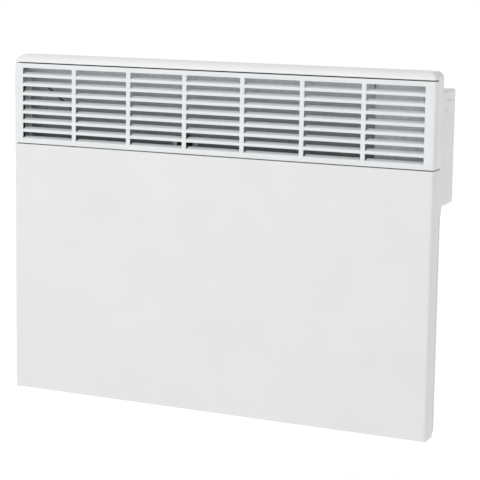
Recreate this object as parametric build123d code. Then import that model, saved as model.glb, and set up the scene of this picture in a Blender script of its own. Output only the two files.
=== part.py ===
from build123d import *
import os

# Wall panel convector heater, in millimetres.
# Every piece is drawn on the heater's own datum: X from the middle of the front, to the right,
# Y from the front face back to the wall, Z up from the bottom edge. save() moves it to the mount
# datum, the middle of the four wall holes on the wall's face.

# Casing
WIDTH = 576.0
HEIGHT = 448.2
CASE_DEPTH = 31.0
PANEL_DEPTH = 28.0
SHEET = 1.0
HALF = WIDTH / 2
INNER = HALF - SHEET
CAP_FRONT_RADIUS = 11.0
CAP_SIDE_RADIUS = 9.0
PANEL_EDGE_RADIUS = 3.0
SEAM = 1.2

# Outlet grille
GRILLE_LOW = 331.2
GRILLE_TOP = 438.0
GRILLE_RETURN = 10.5
COLUMNS = 7
ROWS = 8
COLUMN_PITCH = 79.45
ROW_PITCH = 12.08
SLOT_WIDTH = 73.7
SLOT_HEIGHT = 8.3
FIRST_SLOT_TOP = 431.2
BLADE_DEPTH = 6.6
BLADE_RISE = 2.8
BLADE_TAPER = 0.5
BLADE_THICKNESS = 0.8

# Rear panel, with a shallow pressed pan behind the element
REAR = PANEL_DEPTH
PAN_DEPTH = 4.0
PAN_LOW = 4.0
PAN_TOP = 274.0
CUP_RADIUS = 5.2
LEAD_HOLE_X = 220.0
LEAD_HOLE_Z = 310.0
LEAD_HOLE_RADIUS = 9.0

# Heating element
ELEMENT_Y = 15.0
ELEMENT_Z = 165.0
ELEMENT_HALF = 258.0
ELEMENT_ROD_RADIUS = 4.0
ELEMENT_BRACKET_X = 270.0
FINS = 44
FIN_DEPTH = 21.0
FIN_HEIGHT = 62.0
CUTOUT_PLACE = (-49.0, 344.0)

# Control box behind the upper right corner
BOX_LEFT = 164.0
BOX_RIGHT = 287.0
BOX_FRONT = REAR + SHEET
BOX_REAR = 87.0
BOX_LOW = 284.0
BOX_TOP = 423.6
BOX_SPLIT = 396.0
SPLIT_GAP = 0.12
BOX_WALL = 2.0
BOX_EDGE_RADIUS = 4.0
BOX_RIM_RADIUS = 3.5
BOSS_PLACES = [(171.0, 38.0), (171.0, 80.6), (279.0, 38.0), (279.0, 80.6)]
KEY_PLACES = {"plus": (212.5, 67.8), "minus": (212.5, 56.0), "mode": (232.8, 55.8)}
KEY_RADIUS = 5.0
KEY_CLEARANCE = 0.3
LAMP_PLACE = (233.6, 67.4)
WINDOW = (173.7, 198.0, 51.8, 70.1)
GROOVE_Y = 75.9
PCB_LOW = BOX_TOP - 12.6
POWER_PCB_LOW = 340.0
GLAND_PLACE = (190.0, 60.0)
GLAND_BORE = 4.0
SENSOR_PLACE = (262.0, 58.0)

# Rocker switch on the right side
ROCKER_Y = 58.6
ROCKER_Z = 405.0
ROCKER_HALF_LENGTH = 14.5
ROCKER_HALF_HEIGHT = 6.0
ROCKER_AXLE_X = 282.0
ROCKER_AXLE_RADIUS = 1.3
ROCKER_TILT = 7.0

# Wall frame
WALL = 90.0
HOLE_X = 120.0
HOLE_Z = 140.0
HOLE_RADIUS = 3.0
MOUNT_Z = 230.0
RAIL_X = 108.0
RAIL_FRONT = 38.0
RAIL_LOW = 56.0
RAIL_TOP = 400.0
RAIL_SHEET = 1.5
PIVOT_Y = 45.0
PIVOT_Z = 72.0
PIVOT_RADIUS = 3.0
CLIP_X = 80.0


def save(name, *shapes):
    """Writes one piece, moved from the heater's datum to the middle of the wall holes."""
    place = Pos(0, -WALL, -MOUNT_Z)
    solids = [place * solid for shape in shapes for solid in shape.solids()]
    export_step(Compound(children=solids) if len(solids) > 1 else solids[0], f"parts/{name}.step")


def block(x0, x1, y0, y1, z0, z1):
    middle = Pos((x0 + x1) / 2, (y0 + y1) / 2, (z0 + z1) / 2)
    return middle * Box(abs(x1 - x0), abs(y1 - y0), abs(z1 - z0))


def rod_x(radius, x0, x1, y, z):
    return Pos((x0 + x1) / 2, y, z) * Rot(0, 90, 0) * Cylinder(radius, abs(x1 - x0))


def rod_y(radius, y0, y1, x, z):
    return Pos(x, (y0 + y1) / 2, z) * Rot(90, 0, 0) * Cylinder(radius, abs(y1 - y0))


def rod_z(radius, z0, z1, x, y):
    return Pos(x, y, (z0 + z1) / 2) * Cylinder(radius, abs(z1 - z0))


def sheet_along_x(outline, x0, x1):
    """A closed outline of (Y, Z) points, drawn along X."""
    face = make_face(Polyline(*[(x0, y, z) for y, z in outline], close=True))
    return extrude(face, x1 - x0, dir=(1, 0, 0))


def both_sides(shape):
    return shape, mirror(shape, Plane.YZ)


def upright_edges(shape, front=True):
    """The vertical edges at the front of a shape, or at its rear."""
    edges = shape.edges().filter_by(Axis.Z).group_by(Axis.Y)
    return edges[0] if front else edges[-1]


def tray(half, depth, low, top, radius):
    """A front face with its two side returns, of one sheet."""
    outer = block(-half, half, 0, depth, low, top)
    inner = block(-half + SHEET, half - SHEET, SHEET, depth + 5, low - 5, top + 5)
    outer = fillet(upright_edges(outer), radius)
    inner = fillet(upright_edges(inner), radius - SHEET)
    return outer - inner


def front_panel():
    top = GRILLE_LOW - SEAM / 2
    shell = tray(HALF, PANEL_DEPTH, 0, top, PANEL_EDGE_RADIUS)
    flanges = both_sides(block(INNER - 9, INNER, PANEL_DEPTH - SHEET, PANEL_DEPTH, 0, top))
    lower_lip = block(-INNER + 3, INNER - 3, SHEET / 2, 9, 0, SHEET)
    sloping = [(SHEET / 2, top - 1.6), (SHEET / 2, top), (9, top - 3.4), (9, top - 4.6)]
    lips = [lower_lip, sheet_along_x(sloping, -INNER + 3, INNER - 3)]
    holes = [rod_y(1.7, 20, 40, x, z) for x, z in case_screw_places()[:4]]
    return shell + list(flanges) + lips - holes


def slot_places():
    for column in range(COLUMNS):
        for row in range(ROWS):
            x = (column - (COLUMNS - 1) / 2) * COLUMN_PITCH
            yield x, FIRST_SLOT_TOP - row * ROW_PITCH - SLOT_HEIGHT / 2


def blade():
    """The tongue pressed in from a slot's lower edge: it slopes back and up behind the slot,
    and narrows a little towards its free edge. It is drawn at the middle of its slot."""
    low = -SLOT_HEIGHT / 2
    outline = [
        (0.2, low - 0.7),
        (SHEET + 0.3, low - 0.7),
        (BLADE_DEPTH, low + BLADE_RISE - BLADE_THICKNESS),
        (BLADE_DEPTH - 0.3, low + BLADE_RISE),
        (SHEET + 0.2, low + 0.2),
        (0.5, low),
        (0.2, low - 0.3),
    ]
    half = SLOT_WIDTH / 2
    plan = [(-half, 0), (half, 0), (half - BLADE_TAPER, BLADE_DEPTH), (BLADE_TAPER - half, BLADE_DEPTH)]
    narrowing = extrude(make_face(Polyline(*plan, close=True)), SLOT_HEIGHT, both=True)
    return sheet_along_x(outline, -half, half) & narrowing


def outlet_grille():
    low, top = GRILLE_LOW + SEAM / 2, GRILLE_TOP - SEAM / 2
    shell = tray(HALF, GRILLE_RETURN, low, top, PANEL_EDGE_RADIUS)
    slots = [
        block(x - SLOT_WIDTH / 2, x + SLOT_WIDTH / 2, -1, 2, z - SLOT_HEIGHT / 2, z + SLOT_HEIGHT / 2)
        for x, z in slot_places()
    ]
    pressed = blade()
    return shell - slots + [Pos(x, 0, z) * pressed for x, z in slot_places()]


def cap_form(inset):
    """The cap's rounded outline, or the same outline drawn in by the sheet's thickness."""
    half, top = HALF - inset, HEIGHT - inset
    raw = block(-half, half, inset, CASE_DEPTH, GRILLE_LOW + SEAM / 2, top)
    front = raw.edges().filter_by(Axis.X).group_by(Axis.Z)[-1].group_by(Axis.Y)[0]
    sides = raw.edges().filter_by(Axis.Y).group_by(Axis.Z)[-1]
    rounded_front = fillet(front, CAP_FRONT_RADIUS - inset)
    rounded_sides = fillet(sides, CAP_SIDE_RADIUS - inset)
    rounded_corners = fillet(upright_edges(raw), PANEL_EDGE_RADIUS + 1 - inset)
    return rounded_front & rounded_sides & rounded_corners


def top_shell():
    cavity = cap_form(SHEET) + block(-INNER, INNER, 20, 40, 300, GRILLE_TOP)
    lower_edge = GRILLE_TOP + SEAM / 2
    below = block(-HALF - 5, HALF + 5, -5, GRILLE_RETURN + SEAM / 2, 300, lower_edge)
    shell = cap_form(0) - cavity - below
    lip = block(-HALF + 16, HALF - 16, 0.6, 7, lower_edge, lower_edge + SHEET)
    flange = block(INNER - 9, INNER, PANEL_DEPTH - SHEET, PANEL_DEPTH, GRILLE_LOW + 1, 430)
    tab = block(250, 274, PANEL_DEPTH - SHEET, PANEL_DEPTH, 430, HEIGHT - SHEET / 2)
    holes = [rod_y(1.7, 20, 40, x, z) for x, z in case_screw_places()[4:]]
    return shell + lip + list(both_sides(flange)) + list(both_sides(tab)) - holes


def case_screw_places():
    """Four screws hold the front panel, in cups pressed in the pan, and two hold the top shell."""
    return [(side * x, z) for x, z in ((281.5, 30), (281.5, 230), (262, 438)) for side in (-1, 1)]


def rear_panel():
    """The flat back with its pressed pan, whose ends slope, and a cup in it for each lower screw."""
    plate = block(-INNER, INNER, REAR, REAR + SHEET, 1, GRILLE_LOW)
    upper = block(-INNER + 0.3, INNER - 0.3, REAR, REAR + SHEET, GRILLE_LOW, HEIGHT - SHEET - 0.3)
    corners = upper.edges().filter_by(Axis.Y).group_by(Axis.Z)[-1]
    plate += fillet(corners, CAP_SIDE_RADIUS)
    outer = [
        (REAR, PAN_LOW),
        (REAR + PAN_DEPTH, PAN_LOW + PAN_DEPTH),
        (REAR + PAN_DEPTH, PAN_TOP - PAN_DEPTH),
        (REAR, PAN_TOP),
    ]
    floor = REAR + PAN_DEPTH - SHEET
    inner = [
        (REAR - 1, PAN_LOW + SHEET),
        (floor, PAN_LOW + PAN_DEPTH + SHEET / 2),
        (floor, PAN_TOP - PAN_DEPTH - SHEET / 2),
        (REAR - 1, PAN_TOP - SHEET),
    ]
    pan = sheet_along_x(outer, -HALF, HALF)
    hollow = sheet_along_x(inner, -INNER + 0.2, INNER - 0.2)
    cups = [rod_y(CUP_RADIUS, REAR, REAR + PAN_DEPTH, x, z) for x, z in case_screw_places()[:4]]
    holes = [rod_y(CUP_RADIUS - SHEET, BOX_FRONT, 40, x, z) for x, z in case_screw_places()[:4]]
    holes += [rod_y(1.7, 20, 40, x, z) for x, z in case_screw_places()]
    holes.append(rod_y(LEAD_HOLE_RADIUS, 20, 40, LEAD_HOLE_X, LEAD_HOLE_Z))
    return plate + pan - hollow + cups - holes


def inlet_guard():
    """The slotted tray that closes the bottom, where the cold air comes in."""
    plate = block(-INNER + 0.4, INNER - 0.4, 3, REAR - SHEET - 0.2, SHEET, 2 * SHEET)
    rear_lip = block(-INNER + 12, INNER - 12, REAR - SHEET - 0.2, REAR, SHEET, 14)
    slots = [
        block(x - 13, x + 13, y - 2.5, y + 2.5, -2, 6)
        for x in range(-255, 256, 34)
        for y in (13, 21)
    ]
    return plate + rear_lip - slots


def air_baffle():
    """The bent sheet behind the grille that turns the rising warm air forward."""
    t = 0.8
    outline = [
        (REAR - t, 336),
        (REAR, 336),
        (REAR, 413),
        (12 + t, 437.5),
        (12, 437.5 - t),
        (REAR - t, 412.4),
    ]
    ear = block(-INNER + 10, -INNER + 10 + t, REAR - 4, REAR, 377, 393)
    return sheet_along_x(outline, -INNER + 10, 206) + ear


def control_partition():
    """The bright sheet that keeps warm air off the control box."""
    front = block(209, INNER - 10, 16.5, 17.5, 336, 434)
    side = block(208, 209, 16.5, REAR, 336, 434)
    return front + side


def element_body():
    """Extruded aluminium fins round the tube that holds the heating rod."""
    step = 2 * ELEMENT_HALF / FINS
    fins = [
        block(x - 0.7, x + 0.7, ELEMENT_Y - FIN_DEPTH / 2, ELEMENT_Y + FIN_DEPTH / 2,
              ELEMENT_Z - FIN_HEIGHT / 2, ELEMENT_Z + FIN_HEIGHT / 2)
        for x in [-ELEMENT_HALF + step * (n + 0.5) for n in range(FINS)]
    ]
    tube = rod_x(7, -ELEMENT_HALF, ELEMENT_HALF, ELEMENT_Y, ELEMENT_Z)
    bore = rod_x(ELEMENT_ROD_RADIUS + 0.05, -300, 300, ELEMENT_Y, ELEMENT_Z)
    return tube + fins - bore


def element_rod():
    return rod_x(ELEMENT_ROD_RADIUS, -277, 277, ELEMENT_Y, ELEMENT_Z)


def element_bush():
    """A ceramic bush with a collar, which holds one end of the rod in its bracket."""
    body = rod_x(7, 261, 275, ELEMENT_Y, ELEMENT_Z) + rod_x(9, 264, 268.5, ELEMENT_Y, ELEMENT_Z)
    return body - rod_x(ELEMENT_ROD_RADIUS + 0.05, 250, 290, ELEMENT_Y, ELEMENT_Z)


def element_bracket():
    web = block(269, ELEMENT_BRACKET_X + 0.2, 4, REAR + 1.5, 125, 205)
    foot = block(259.5, 269, REAR + 1.9, REAR + PAN_DEPTH - SHEET, 125, 205)
    web += block(269, ELEMENT_BRACKET_X + 0.2, REAR, REAR + PAN_DEPTH - SHEET, 125, 205)
    hole = rod_x(7.05, 260, 280, ELEMENT_Y, ELEMENT_Z)
    screws = [rod_y(1.7, 20, 40, 264, z) for z in (135, 195)]
    return web + foot - hole - screws


def element_terminal():
    """A nut and an upright tab on the rod's end."""
    nut = rod_x(3.4, 277, 280, ELEMENT_Y, ELEMENT_Z)
    tab = block(278.6, 279.4, ELEMENT_Y - 3, ELEMENT_Y + 3, ELEMENT_Z, ELEMENT_Z + 11)
    return nut + tab


def thermal_cutout():
    """The disc thermostat that cuts the element off if the outlet is covered."""
    x, z = CUTOUT_PLACE
    disc = rod_y(8.5, 17.4, 23.4, x, z) + rod_y(10, 23.4, 25.2, x, z)
    tabs = [block(x + side - 0.4, x + side + 0.4, 11, 17.4, z - 6, z) for side in (-5, 5)]
    return disc + tabs


def cutout_bracket():
    x, z = CUTOUT_PLACE
    face = block(x - 18, x + 18, 25.2, 26.2, z - 7, z + 7)
    feet = [block(x + side - 2.5, x + side + 2.5, 26.2, REAR - 0.8, z - 7, z + 7) for side in (-15.5, 15.5)]
    return face + feet


def control_box():
    """The lower half of the control box: open at the top, with a hook tab under its front."""
    outer = block(BOX_LEFT, BOX_RIGHT, BOX_FRONT, BOX_REAR, BOX_LOW, BOX_SPLIT)
    outer = fillet(upright_edges(outer, front=False), BOX_EDGE_RADIUS)
    inner = block(BOX_LEFT + BOX_WALL, BOX_RIGHT - BOX_WALL, BOX_FRONT + BOX_WALL,
                  BOX_REAR - BOX_WALL, BOX_LOW + BOX_WALL, BOX_TOP)
    tab = sheet_along_x(
        [(BOX_FRONT, 268), (32, 268), (39, 275), (39, BOX_LOW), (BOX_FRONT, BOX_LOW)],
        BOX_LEFT + 2, BOX_RIGHT)
    tab -= block(-HALF, HALF, REAR, REAR + PAN_DEPTH, 0, PAN_TOP + 0.3)
    posts = [rod_z(5.2, BOX_LOW + 1, BOX_SPLIT, x, y) for x, y in BOSS_PLACES]
    posts += [rod_z(2.2, BOX_LOW + 1, POWER_PCB_LOW, x, y) for x, y in power_post_places()]
    wells = [rod_z(3.6, BOX_LOW - 1, 380, x, y) for x, y in BOSS_PLACES]
    bores = [rod_z(1.8, 370, BOX_SPLIT + 1, x, y) for x, y in BOSS_PLACES]
    bores += [rod_z(1.1, 330, 345, x, y) for x, y in power_post_places()]
    holes = [
        rod_y(LEAD_HOLE_RADIUS, 20, BOX_FRONT + BOX_WALL + 1, LEAD_HOLE_X, LEAD_HOLE_Z),
        rod_z(8, BOX_LOW - 1, BOX_LOW + 4, *GLAND_PLACE),
        rod_z(2.5, BOX_LOW - 1, BOX_LOW + 4, *SENSOR_PLACE),
    ]
    holes += [block(x, x + 2, 66, 80, BOX_LOW - 1, BOX_LOW + 3) for x in range(216, 268, 6)]
    return (outer - inner) + tab + posts - wells - bores - holes


def power_post_places():
    return [(x, y) for x in (184, 266) for y in (42, 78)]


def control_cover():
    """The upper half: its top carries the display, the keys and the lamp."""
    outer = block(BOX_LEFT, BOX_RIGHT, BOX_FRONT, BOX_REAR, BOX_SPLIT + SPLIT_GAP, BOX_TOP)
    outer = fillet(upright_edges(outer, front=False), BOX_EDGE_RADIUS)
    rim = outer.edges().group_by(Axis.Z)[-1].sort_by(Axis.Y)[1:]
    outer = fillet(rim, BOX_RIM_RADIUS)
    inner = block(BOX_LEFT + BOX_WALL, BOX_RIGHT - BOX_WALL, BOX_FRONT + BOX_WALL,
                  BOX_REAR - BOX_WALL, BOX_SPLIT - 5, BOX_TOP - BOX_WALL)
    under_top = BOX_TOP - BOX_WALL + 0.5
    bosses = [rod_z(4, BOX_SPLIT + SPLIT_GAP, under_top, x, y) for x, y in BOSS_PLACES]
    bosses += [rod_z(2.2, PCB_LOW + 1.6, under_top, x, y) for x, y in pcb_post_places()]
    bores = [rod_z(1.55, BOX_SPLIT - 1, 404, x, y) for x, y in BOSS_PLACES]
    bores += [rod_z(1.1, PCB_LOW, BOX_TOP - 5, x, y) for x, y in pcb_post_places()]
    keyholes = [
        rod_z(KEY_RADIUS + KEY_CLEARANCE, 415, 430, x, y) for x, y in KEY_PLACES.values()
    ]
    window = block(WINDOW[0] - 0.1, WINDOW[1] + 0.1, WINDOW[2] - 0.1, WINDOW[3] + 0.1, 415, 430)
    groove = block(BOX_LEFT + 3.8, BOX_RIGHT - 12, GROOVE_Y - 0.3, GROOVE_Y + 0.3, BOX_TOP - 0.6, 430)
    lamp = rod_z(1.05, 415, 430, *LAMP_PLACE)
    rocker_hole = stadium(ROCKER_HALF_LENGTH + 0.8, ROCKER_HALF_HEIGHT + 0.25, 281, 295)
    return (outer - inner) + bosses - bores - keyholes - [window, groove, lamp, rocker_hole]


def pcb_post_places():
    return [(x, y) for x in (204, 245) for y in (48, 72)]


def stadium(half_length, half_height, x0, x1):
    """A round-ended bar along Y, drawn along X, at the rocker's place."""
    flat = half_length - half_height
    middle = block(x0, x1, ROCKER_Y - flat, ROCKER_Y + flat, ROCKER_Z - half_height, ROCKER_Z + half_height)
    ends = [rod_x(half_height, x0, x1, ROCKER_Y + side * flat, ROCKER_Z) for side in (-1, 1)]
    return middle + ends


def rocker():
    """Two finger hollows with a ridge between them, on an upright axle, pressed in at the front."""
    bar = stadium(ROCKER_HALF_LENGTH, ROCKER_HALF_HEIGHT, 277.5, 288.4)
    hollows = [rod_z(14, 380, 430, 300.8, ROCKER_Y + side * 7.6) for side in (-1, 1)]
    axle = rod_z(ROCKER_AXLE_RADIUS, ROCKER_Z - 7.6, ROCKER_Z + 7.6, ROCKER_AXLE_X, ROCKER_Y)
    level = bar - hollows + axle
    pivot = Axis((ROCKER_AXLE_X, ROCKER_Y, 0), (0, 0, 1))
    return level.rotate(pivot, -ROCKER_TILT)


def switch_body():
    """The switch behind the rocker, with the two ears that carry its axle."""
    body = block(256, 272, 46, 71, 397.4, 412.6)
    frame = block(283.4, BOX_RIGHT - BOX_WALL, 41, 76, 396.6, 414)
    frame -= stadium(ROCKER_HALF_LENGTH + 1, ROCKER_HALF_HEIGHT + 0.5, 280, 290)
    bore = rod_z(ROCKER_AXLE_RADIUS + 0.05, 390, 420, ROCKER_AXLE_X, ROCKER_Y)
    ears = [block(262, 284.6, 54, 63.2, z, z + 1.8) for z in (396.9, 411.3)]
    tabs = [block(250, 256, y, y + 0.8, 401, 408) for y in (50, 58, 66)]
    return body + frame + ears + tabs - bore


def key(x, y):
    """One round key: a button with a shoulder under the cover and a stem over its switch."""
    button = rod_z(KEY_RADIUS, BOX_TOP - 5, BOX_TOP + 0.5, x, y)
    button = fillet(button.edges().group_by(Axis.Z)[-1], 0.6)
    shoulder = rod_z(KEY_RADIUS + 0.7, BOX_TOP - 4.4, BOX_TOP - 2.4, x, y)
    return button + shoulder + rod_z(1.5, BOX_TOP - 5.5, BOX_TOP - 4.6, x, y)


def tact_switch(x, y):
    body = block(x - 3, x + 3, y - 3, y + 3, PCB_LOW + 1.6, PCB_LOW + 4.8)
    return body + rod_z(1.7, PCB_LOW + 4.6, BOX_TOP - 6.5, x, y)


def display_window():
    return block(WINDOW[0], WINDOW[1], WINDOW[2], WINDOW[3], BOX_TOP - 4, BOX_TOP - 0.2)


def display_module():
    return block(171.5, 200.5, 50, 72, PCB_LOW + 1.6, BOX_TOP - 4)


def indicator_lamp():
    lens = rod_z(1, BOX_TOP - 7, BOX_TOP + 0.1, *LAMP_PLACE)
    return lens + rod_z(2, PCB_LOW + 1.6, BOX_TOP - 6.8, *LAMP_PLACE)


def control_pcb():
    plate = block(169, 250, 44.5, 75, PCB_LOW, PCB_LOW + 1.6)
    return plate - [rod_z(1.2, 400, 420, x, y) for x, y in pcb_post_places()]


def screw_up(x, y, head_low, head_radius, head_height, shank_radius, top):
    head = rod_z(head_radius, head_low, head_low + head_height, x, y)
    cross = [block(x - 1.4, x + 1.4, y - 0.3, y + 0.3, head_low - 1, head_low + 0.6)]
    cross.append(block(x - 0.3, x + 0.3, y - 1.4, y + 1.4, head_low - 1, head_low + 0.6))
    return head - cross + rod_z(shank_radius, head_low + head_height / 2, top, x, y)


def screw_forward(x, z, head_rear, head_radius, shank_front):
    """A pan head on a back face, with its cross recess, driven forward."""
    head = rod_y(head_radius, head_rear - 2, head_rear, x, z)
    cross = [block(x - 1.7, x + 1.7, head_rear - 1, head_rear + 1, z - 0.35, z + 0.35)]
    cross.append(block(x - 0.35, x + 0.35, head_rear - 1, head_rear + 1, z - 1.7, z + 1.7))
    return head - cross + rod_y(1.6, shank_front, head_rear - 1.2, x, z)


def power_pcb():
    plate = block(178, 272, 36, 84, POWER_PCB_LOW, POWER_PCB_LOW + 1.6)
    return plate - [rod_z(1.2, 330, 350, x, y) for x, y in power_post_places()]


def relay():
    case = block(194, 213, 62, 78, POWER_PCB_LOW + 1.6, 357)
    return fillet(case.edges().group_by(Axis.Z)[-1], 0.8)


def smoothing_capacitor():
    can = rod_z(6, POWER_PCB_LOW + 1.6, 361, 226, 72)
    return fillet(can.edges().group_by(Axis.Z)[-1], 1)


def triac_heatsink():
    """A finned aluminium block with the power switch's tab on it."""
    base = block(196, 236, 46, 49, POWER_PCB_LOW + 1.6, 376)
    return base + [block(x, x + 1.6, 39, 46.5, POWER_PCB_LOW + 1.6, 376) for x in range(197, 236, 5)]


def power_triac():
    return block(206, 216, 49, 53.5, POWER_PCB_LOW + 4, 360)


def mains_transformer():
    core = block(242, 262, 56, 76, POWER_PCB_LOW + 1.6, 362)
    return core + block(238.5, 265.5, 59, 73, 345, 358.5)


def terminal_block():
    """Three screw clamps in a row on the box's floor."""
    body = block(202, 232, 40, 52, BOX_LOW + BOX_WALL, 302)
    wells = [rod_z(2.6, 296, 310, x, 46) for x in (207, 217, 227)]
    ports = [rod_y(2.2, 45, 60, x, 291) for x in (207, 217, 227)]
    return body - wells - ports


def terminal_screws():
    slot = [block(x - 2, x + 2, 45.7, 46.3, 299, 301) for x in (207, 217, 227)]
    return [rod_z(2.4, 296.05, 300, x, 46) - slot[n] for n, x in enumerate((207, 217, 227))]


def cable_gland():
    """The cord's inlet under the box: a hexagonal body, a thread and a nut inside."""
    x, y = GLAND_PLACE
    hexagon = extrude(Pos(x, y, 274) * RegularPolygon(10.5, 6), 10)
    mouth = rod_z(7.2, 268, 274, x, y)
    thread = rod_z(7.95, 280, 293, x, y)
    nut = extrude(Pos(x, y, BOX_LOW + BOX_WALL) * RegularPolygon(10.5, 6), 4)
    body = hexagon + mouth + thread + nut
    return body - rod_z(GLAND_BORE, 260, 300, x, y)


def room_sensor():
    """The bead that feels the room's air, hanging a little below the box."""
    x, y = SENSOR_PLACE
    bead = rod_z(2.4, 271, 289, x, y)
    return fillet(bead.edges().group_by(Axis.Z)[0], 1.5) + rod_z(4, 286, 288, x, y)


def lead_grommet():
    body = rod_y(LEAD_HOLE_RADIUS - 0.05, REAR - 1, BOX_FRONT + BOX_WALL + 1, LEAD_HOLE_X, LEAD_HOLE_Z)
    inside = rod_y(11, REAR - 1, REAR, LEAD_HOLE_X, LEAD_HOLE_Z)
    outside = rod_y(11, BOX_FRONT + BOX_WALL, BOX_FRONT + BOX_WALL + 1, LEAD_HOLE_X, LEAD_HOLE_Z)
    return body + inside + outside - rod_y(6, 20, 40, LEAD_HOLE_X, LEAD_HOLE_Z)


def earth_stud():
    """A stud on the rear panel with its nut and a ring tag under it."""
    stud = rod_y(2, 16, REAR, 250, 300)
    nut = Pos(250, 21, 300) * Rot(90, 0, 0) * extrude(RegularPolygon(4, 6), 3)
    return stud + nut + rod_y(4.2, 23, 23.8, 250, 300)


def lead(radius, bend, *points):
    """An insulated lead: straight runs joined by arcs."""
    path = FilletPolyline(*points, radius=bend)
    start = path @ 0
    section = Plane(origin=start, z_dir=path % 0) * Circle(radius)
    return sweep(section, path=path)


def lead_live():
    return lead(1.2, 8, (223, 52, 340), (223, 52, 310), (223, 21, 310), (223, 21, 236),
                (279, 21, 224), (279, 16, 200), (279, 16, ELEMENT_Z + 11))


def lead_neutral():
    x, z = CUTOUT_PLACE
    return lead(1.2, 8, (217, 52, 340), (217, 52, 312), (217, 22, 312), (217, 22, 256),
                (x + 26, 20, 258), (x + 5, 14.5, 258), (x + 5, 14.5, z - 6))


def lead_return():
    x, z = CUTOUT_PLACE
    return lead(1.2, 5, (x - 5, 14.5, z - 6), (x - 5, 14.5, 258), (x - 26, 19, 258), (-209, 19, 258),
                (-209.3, 19, 376.4), (-249, 19, 406.2), (-285.2, 20, 405.6), (-285.2, 20, 222),
                (-279, 16, 200), (-279, 16, ELEMENT_Z + 11))


def lead_earth():
    return lead(1.2, 5, (220, 52, 340), (220, 52, 306.6), (220, 25.5, 306.6), (236, 25.5, 299),
                (245.6, 23.4, 300))


def lead_sensor():
    x, y = SENSOR_PLACE
    return lead(0.9, 6, (x, y, 289), (x, y, 304), (x - 20, y + 4, 312), (x - 20, y + 4, POWER_PCB_LOW))


def supply_leads():
    return [
        lead(1.3, 5, (x, 59.9, 291), (x, 66, 291), (x, 66, 318), (x - 2, 60, 330), (x - 2, 60, POWER_PCB_LOW))
        for x in (207, 217)
    ]


def pivot_hook(side):
    """A plate under the casing's back that hangs on a pivot pin, open below to lift off."""
    flange = block(98, 116, REAR + PAN_DEPTH, REAR + PAN_DEPTH + 1.5, 66, 94)
    plate = block(98, 100, REAR + PAN_DEPTH, 52, 58, 92)
    slot = rod_x(PIVOT_RADIUS + 0.05, 90, 110, PIVOT_Y, PIVOT_Z)
    gap = PIVOT_RADIUS + 0.05
    mouth = block(90, 110, PIVOT_Y - gap, PIVOT_Y + gap, 50, PIVOT_Z)
    return (flange + plate - slot - mouth) if side > 0 else mirror(flange + plate - slot - mouth, Plane.YZ)


def catch_fin():
    """A blade on the casing's back that the spring clip grips."""
    foot = block(CLIP_X - 9, CLIP_X + 9, BOX_FRONT, BOX_FRONT + 1.2, 374, 396)
    return foot + block(CLIP_X - 0.75, CLIP_X + 0.75, BOX_FRONT, 57, 380, 390)


def wall_rail():
    """An upright of bent sheet: a flange on the wall and a web standing out from it."""
    web = block(RAIL_X, RAIL_X + RAIL_SHEET, RAIL_FRONT, WALL, RAIL_LOW, RAIL_TOP)
    flange = block(RAIL_X, RAIL_X + 24, WALL - RAIL_SHEET, WALL, RAIL_LOW, RAIL_TOP)
    holes = [rod_y(HOLE_RADIUS, 80, 95, HOLE_X, MOUNT_Z + side * HOLE_Z) for side in (-1, 1)]
    windows = [rod_x(14, 100, 120, 64, z) for z in (130, 180, 230, 280, 330)]
    pin_hole = rod_x(2.5, 100, 120, PIVOT_Y, PIVOT_Z)
    return web + flange - holes - windows - pin_hole


def pivot_pin():
    """A headed pin riveted through the rail's web."""
    shank = rod_x(PIVOT_RADIUS, 94, RAIL_X, PIVOT_Y, PIVOT_Z)
    head = rod_x(5, 92, 94, PIVOT_Y, PIVOT_Z)
    neck = rod_x(2.45, RAIL_X, RAIL_X + RAIL_SHEET, PIVOT_Y, PIVOT_Z)
    return shank + head + neck + rod_x(3.6, RAIL_X + RAIL_SHEET, RAIL_X + RAIL_SHEET + 1, PIVOT_Y, PIVOT_Z)


def crossbar(low, high):
    """A channel between the rails, open towards the wall."""
    face = block(-RAIL_X, RAIL_X, 62, 63.5, low, high)
    flanges = [block(-RAIL_X, RAIL_X, 63.5, 88, z, z + 1.5) for z in (low, high - 1.5)]
    return face + flanges


def spring_clip():
    """Two spring leaves on a riveted base, either side of the catch's blade."""
    base = block(CLIP_X - 9, CLIP_X + 9, 61.2, 62, 376, 394)
    leaves = [
        block(CLIP_X + x, CLIP_X + x + 0.8, 46, 61.6, 379, 391) for x in (-1.7, 0.9)
    ]
    return base + leaves - [rod_y(1.55, 60, 63, CLIP_X + x, 385) for x in (-6, 6)]


def clip_rivet(x):
    return rod_y(1.5, 60.7, 65, x, 385) + rod_y(2.6, 60, 61.2, x, 385)


def crossbar_top():
    holes = [rod_y(1.55, 60, 65, side * CLIP_X + x, 385) for side in (-1, 1) for x in (-6, 6)]
    return crossbar(372, 398) - holes


def buffer():
    """A moulded rubber buffer on the casing's back that rests against a rail's front edge."""
    body = block(104, 114, BOX_FRONT, RAIL_FRONT - 0.3, 345, 365)
    return fillet(body.edges().group_by(Axis.Y)[-1], 1.5)


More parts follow.
